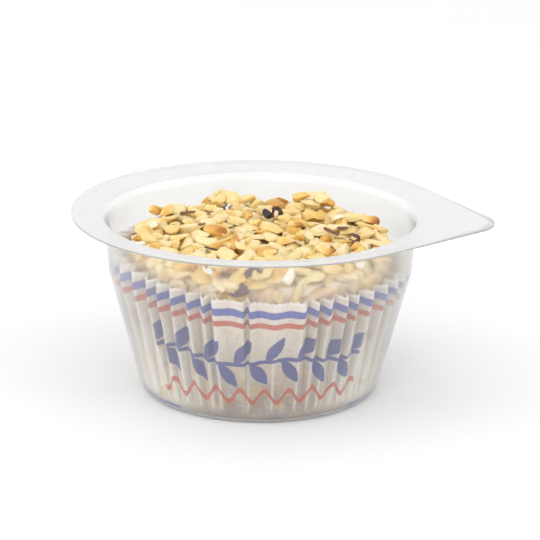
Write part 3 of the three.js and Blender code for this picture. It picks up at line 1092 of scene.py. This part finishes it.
def sprig_mask(look, around, slant, turns):
    """A leafy stem with leaves on both sides."""
    across = slant - SPRIG_LINE - look.wave(around, *SPRIG_WAVE)
    stem = look.band(across, STEM_HALF_WIDTH, 0.08)
    upper = leaf_mask(look, around, across, 0, LEAF_OFFSET, LEAF_TILT)
    lower = leaf_mask(look, around, across, 0.5, -LEAF_OFFSET, -LEAF_TILT)
    return look.union(stem, upper, lower) * printed_part(look, turns, *WALL_PRINT)


def stained_paper_with_painted_shade(look, slant, turns, around):
    """Paper with fibres, streaks and stains, darker towards its foot at the front, partly from grease and
    partly painted shade.
    """
    paper = look.ramp(look.between(slant, 0, PAPER_TOP), PAPER_COLOURS)
    # Darker towards the foot at the front: partly grease, partly painted shade
    front = look.band(turns, 0.095, 0.055)
    paper = look.mix(front * look.between(slant, 27, 2) * 0.9, paper, (136, 110, 90))
    stretched = look.node("CombineXYZ", around * MM, slant * (MM * 0.1))[0]
    streaks = look.between(look.noise(1.6, vector=stretched), 0.48, 0.66) * look.between(slant, 25, 20)
    paper = look.mix(streaks * 0.42, paper, (196, 172, 148))
    for size, detail, onset, lengths, strength, colour in STAINS:
        stain = look.patches(size, detail, *onset) * look.between(slant, *lengths)
        paper = look.mix(stain * strength, paper, colour)
    fibres = look.noise(0.9, detail=4, roughness=0.7)
    paper = look.mix(look.between(fibres, 0.52, 0.68) * 0.35, paper, (251, 247, 240))
    return look.mix(look.between(fibres, 0.48, 0.34) * 0.3, paper, (176, 160, 146))


def paper_with_painted_light(look, paper, slant):
    """Folds down to the foot in painted light: painted shade inwards, a painted highlight on their crests
    and painted shade in their valleys; painted shade also darkens the foot.
    """
    # Painted shade inside the folds
    paper = look.mix(look.attribute("fold") * 0.3, paper, (176, 158, 138))
    in_wall = look.between(slant, -0.5, 2)
    # Painted highlight along the crests of the folds
    crest = look.between(look.attribute("crest"), 0.6, 0.1) * in_wall
    paper = look.mix(crest * 0.55, paper, (242, 237, 228))
    # Painted shade along the valleys of the folds
    valley = look.between(look.attribute("valley"), 0.7, 0.1) * in_wall
    paper = look.mix(valley * 0.4, paper, (142, 128, 118))
    # Painted shade darkens the paper along its foot
    return look.mix(look.between(slant, 1.5, -1.5) * 0.6, paper, (140, 132, 132))


def printed_paper(look, paper, slant, turns, around):
    """Stripes, sprig and wavy line, a little worn, and faint on the paper's inside."""
    def stripe(line, half_width):
        return look.band(slant - line, half_width, 0.1)

    wear = 0.9 + (look.noise(0.7, detail=3) - 0.5) * 0.25
    ink = wear * (look.attribute("outside") * (1 - INK_ON_INSIDE) + INK_ON_INSIDE)
    wave = look.wave(around, *WAVY_LINE_WAVE)
    wavy_line = look.band(slant - WAVY_LINE - wave, WAVY_LINE_HALF_WIDTH, 0.09)
    blue = look.union(stripe(*BLUE_STRIPE), stripe(*HEEL_STRIPE) * printed_part(look, turns, *HEEL_PRINT))
    red = look.union(stripe(*RED_STRIPE), wavy_line * printed_part(look, turns, *WALL_PRINT))
    paper = look.mix(blue * ink, paper, BLUE_INK)
    paper = look.mix(red * ink, paper, RED_INK)
    return look.mix(sprig_mask(look, around, slant, turns) * ink, paper, SPRIG_INK)


def paper_look():
    look = Shader("case_paper", Roughness=0.7, Subsurface_Weight=0.6, Subsurface_Scale=0.001)
    look.surface.inputs["Subsurface Radius"].default_value = (1, 1, 0.9)
    turns, length = look.uv("Print")
    # The paper's length, a little uneven so that the print's edges are, and the distance round
    slant = length * PRINT_LENGTH + (look.noise(1.1) - 0.5) * 0.3
    around = turns * TAU * PRINT_RADIUS
    paper = stained_paper_with_painted_shade(look, slant, turns, around)
    paper = paper_with_painted_light(look, paper, slant)
    look.set("Base Color", printed_paper(look, paper, slant, turns, around))
    look.bump(look.noise(0.5, detail=4), 0.05)
    return look.material


def nut_look(name, colours):
    """Nut or skin by its tone, with creamy dry faces, a pale smear over the side that is partly curd and
    partly painted light on the shaded side chips, and tan low down.
    """
    look = Shader(name, Roughness=0.5, Subsurface_Weight=0.5, Subsurface_Scale=0.0008)
    look.surface.inputs["Subsurface Radius"].default_value = (1, 0.96, 0.84)
    tone = look.attribute("toast")
    toast = tone + (look.noise(1.6) - 0.5) * 0.3
    nut = look.ramp(toast, colours)
    light = look.between(toast, 0.45, 0.35)
    dry = look.between(look.noise(2.4, detail=3) + look.attribute("grain") * 0.3, 0.55, 0.8)
    nut = look.mix(dry * light * 0.35, nut, (247, 231, 190))
    # Pale smear on the side chips: partly curd, partly painted light that lifts them out of the tub's
    # shade
    curd_smear_and_painted_light = look.between(look.height(), 38, 35.5) * look.patches(2.8, 3, 0.4, 0.6)
    nut = look.mix(curd_smear_and_painted_light * light * 0.5, nut, (255, 241, 216))
    tan = look.between(look.height(), 36, 34) * look.patches(3.4, 2, 0.45, 0.6)
    nut = look.mix(tan * light * 0.6, nut, (216, 180, 152))
    bit_of_curd = look.between(tone, CURD_TONE / 2, CURD_TONE * 0.8)
    look.set("Base Color", look.mix(bit_of_curd, nut, (250, 241, 222)))
    look.bump(look.noise(0.6, detail=3), 0.08)
    return look.material


def curd_look():
    """White curd, golden over its top where it shows between the chips: partly fine nut meal and partly
    painted light for the warm glow in the gaps.
    """
    look = Shader("curd", Roughness=0.6)
    curd = look.mix(look.noise(2, detail=3), (253, 244, 230), (247, 228, 200))
    # Golden top: partly nut meal, partly painted light that warms the gaps between the chips
    look.set("Base Color", look.mix(look.between(look.height(), 34.8, 35.8), curd, (242, 210, 140)))
    look.bump(look.noise(0.9, detail=3), 0.2)
    return look.material


def floor_look():
    look = Shader("floor", Roughness=0.9)
    look.set("Base Color", look.mix(look.noise(60), (241, 241, 241), (239, 239, 239)))
    return look.material


# Camera, light and floor


def make_camera():
    azimuth = Matrix.Rotation(CAMERA_AZIMUTH, 3, "Z")
    elevation = Matrix.Rotation(math.pi / 2 - CAMERA_ELEVATION, 3, "X")
    turn_matrix = azimuth @ elevation @ Matrix.Rotation(CAMERA_ROLL, 3, "Z")
    place = azimuth @ Vector(CAMERA_AIM) + turn_matrix @ Vector((0, 0, CAMERA_DISTANCE))
    camera = bpy.data.objects.new("camera", bpy.data.cameras.new("camera"))
    camera.data.lens = CAMERA_LENS
    camera.data.clip_start = 0.01
    camera.data.clip_end = 50
    camera.matrix_world = Matrix.Translation(place * MM) @ turn_matrix.to_4x4()
    bpy.context.scene.collection.objects.link(camera)
    bpy.context.scene.camera = camera


def area_light(name, place, size, power):
    light = bpy.data.lights.new(name, "AREA")
    light.shape = "DISK"
    light.size = size
    light.energy = power
    lamp = bpy.data.objects.new(name, light)
    lamp.location = place
    aim = Vector(LIGHT_AIM) - lamp.location
    lamp.rotation_euler = aim.to_track_quat("-Z", "Y").to_euler()
    bpy.context.scene.collection.objects.link(lamp)


def make_floor():
    reach = FLOOR_REACH
    corners = [(-reach, -reach, 0), (reach, -reach, 0), (reach, reach, 0), (-reach, reach, 0)]
    floor = make_piece("floor", corners, [(0, 1, 2, 3)], [floor_look()])
    floor.location.z = -FLOOR_DROP * MM


def make_studio():
    world = bpy.data.worlds.new("studio")
    world.use_nodes = True
    background = world.node_tree.nodes["Background"]
    background.inputs["Color"].default_value = (1, 1, 1, 1)
    bpy.context.scene.world = world
    for light in LIGHTS:
        area_light(*light)
    make_floor()
    bpy.context.scene.view_settings.view_transform = "Standard"


def dress(piece, node):
    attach(piece, "root")
    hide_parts(node)


make_camera()
make_studio()
dress(make_curd(curd_look()), "cheese")
nut_looks = [nut_look(name, NUT_COLOURS) for name in ("pale_nut", "golden_nut", "toasted_nut")]
for piece in make_coat([*nut_looks, nut_look("nut_skin", SKIN_COLOURS)]):
    dress(piece, "cheese")
dress(make_case(paper_look()), "paper_case")
dress(make_tub([clear_look(*look) for look in FILM_LOOKS]), "cup")
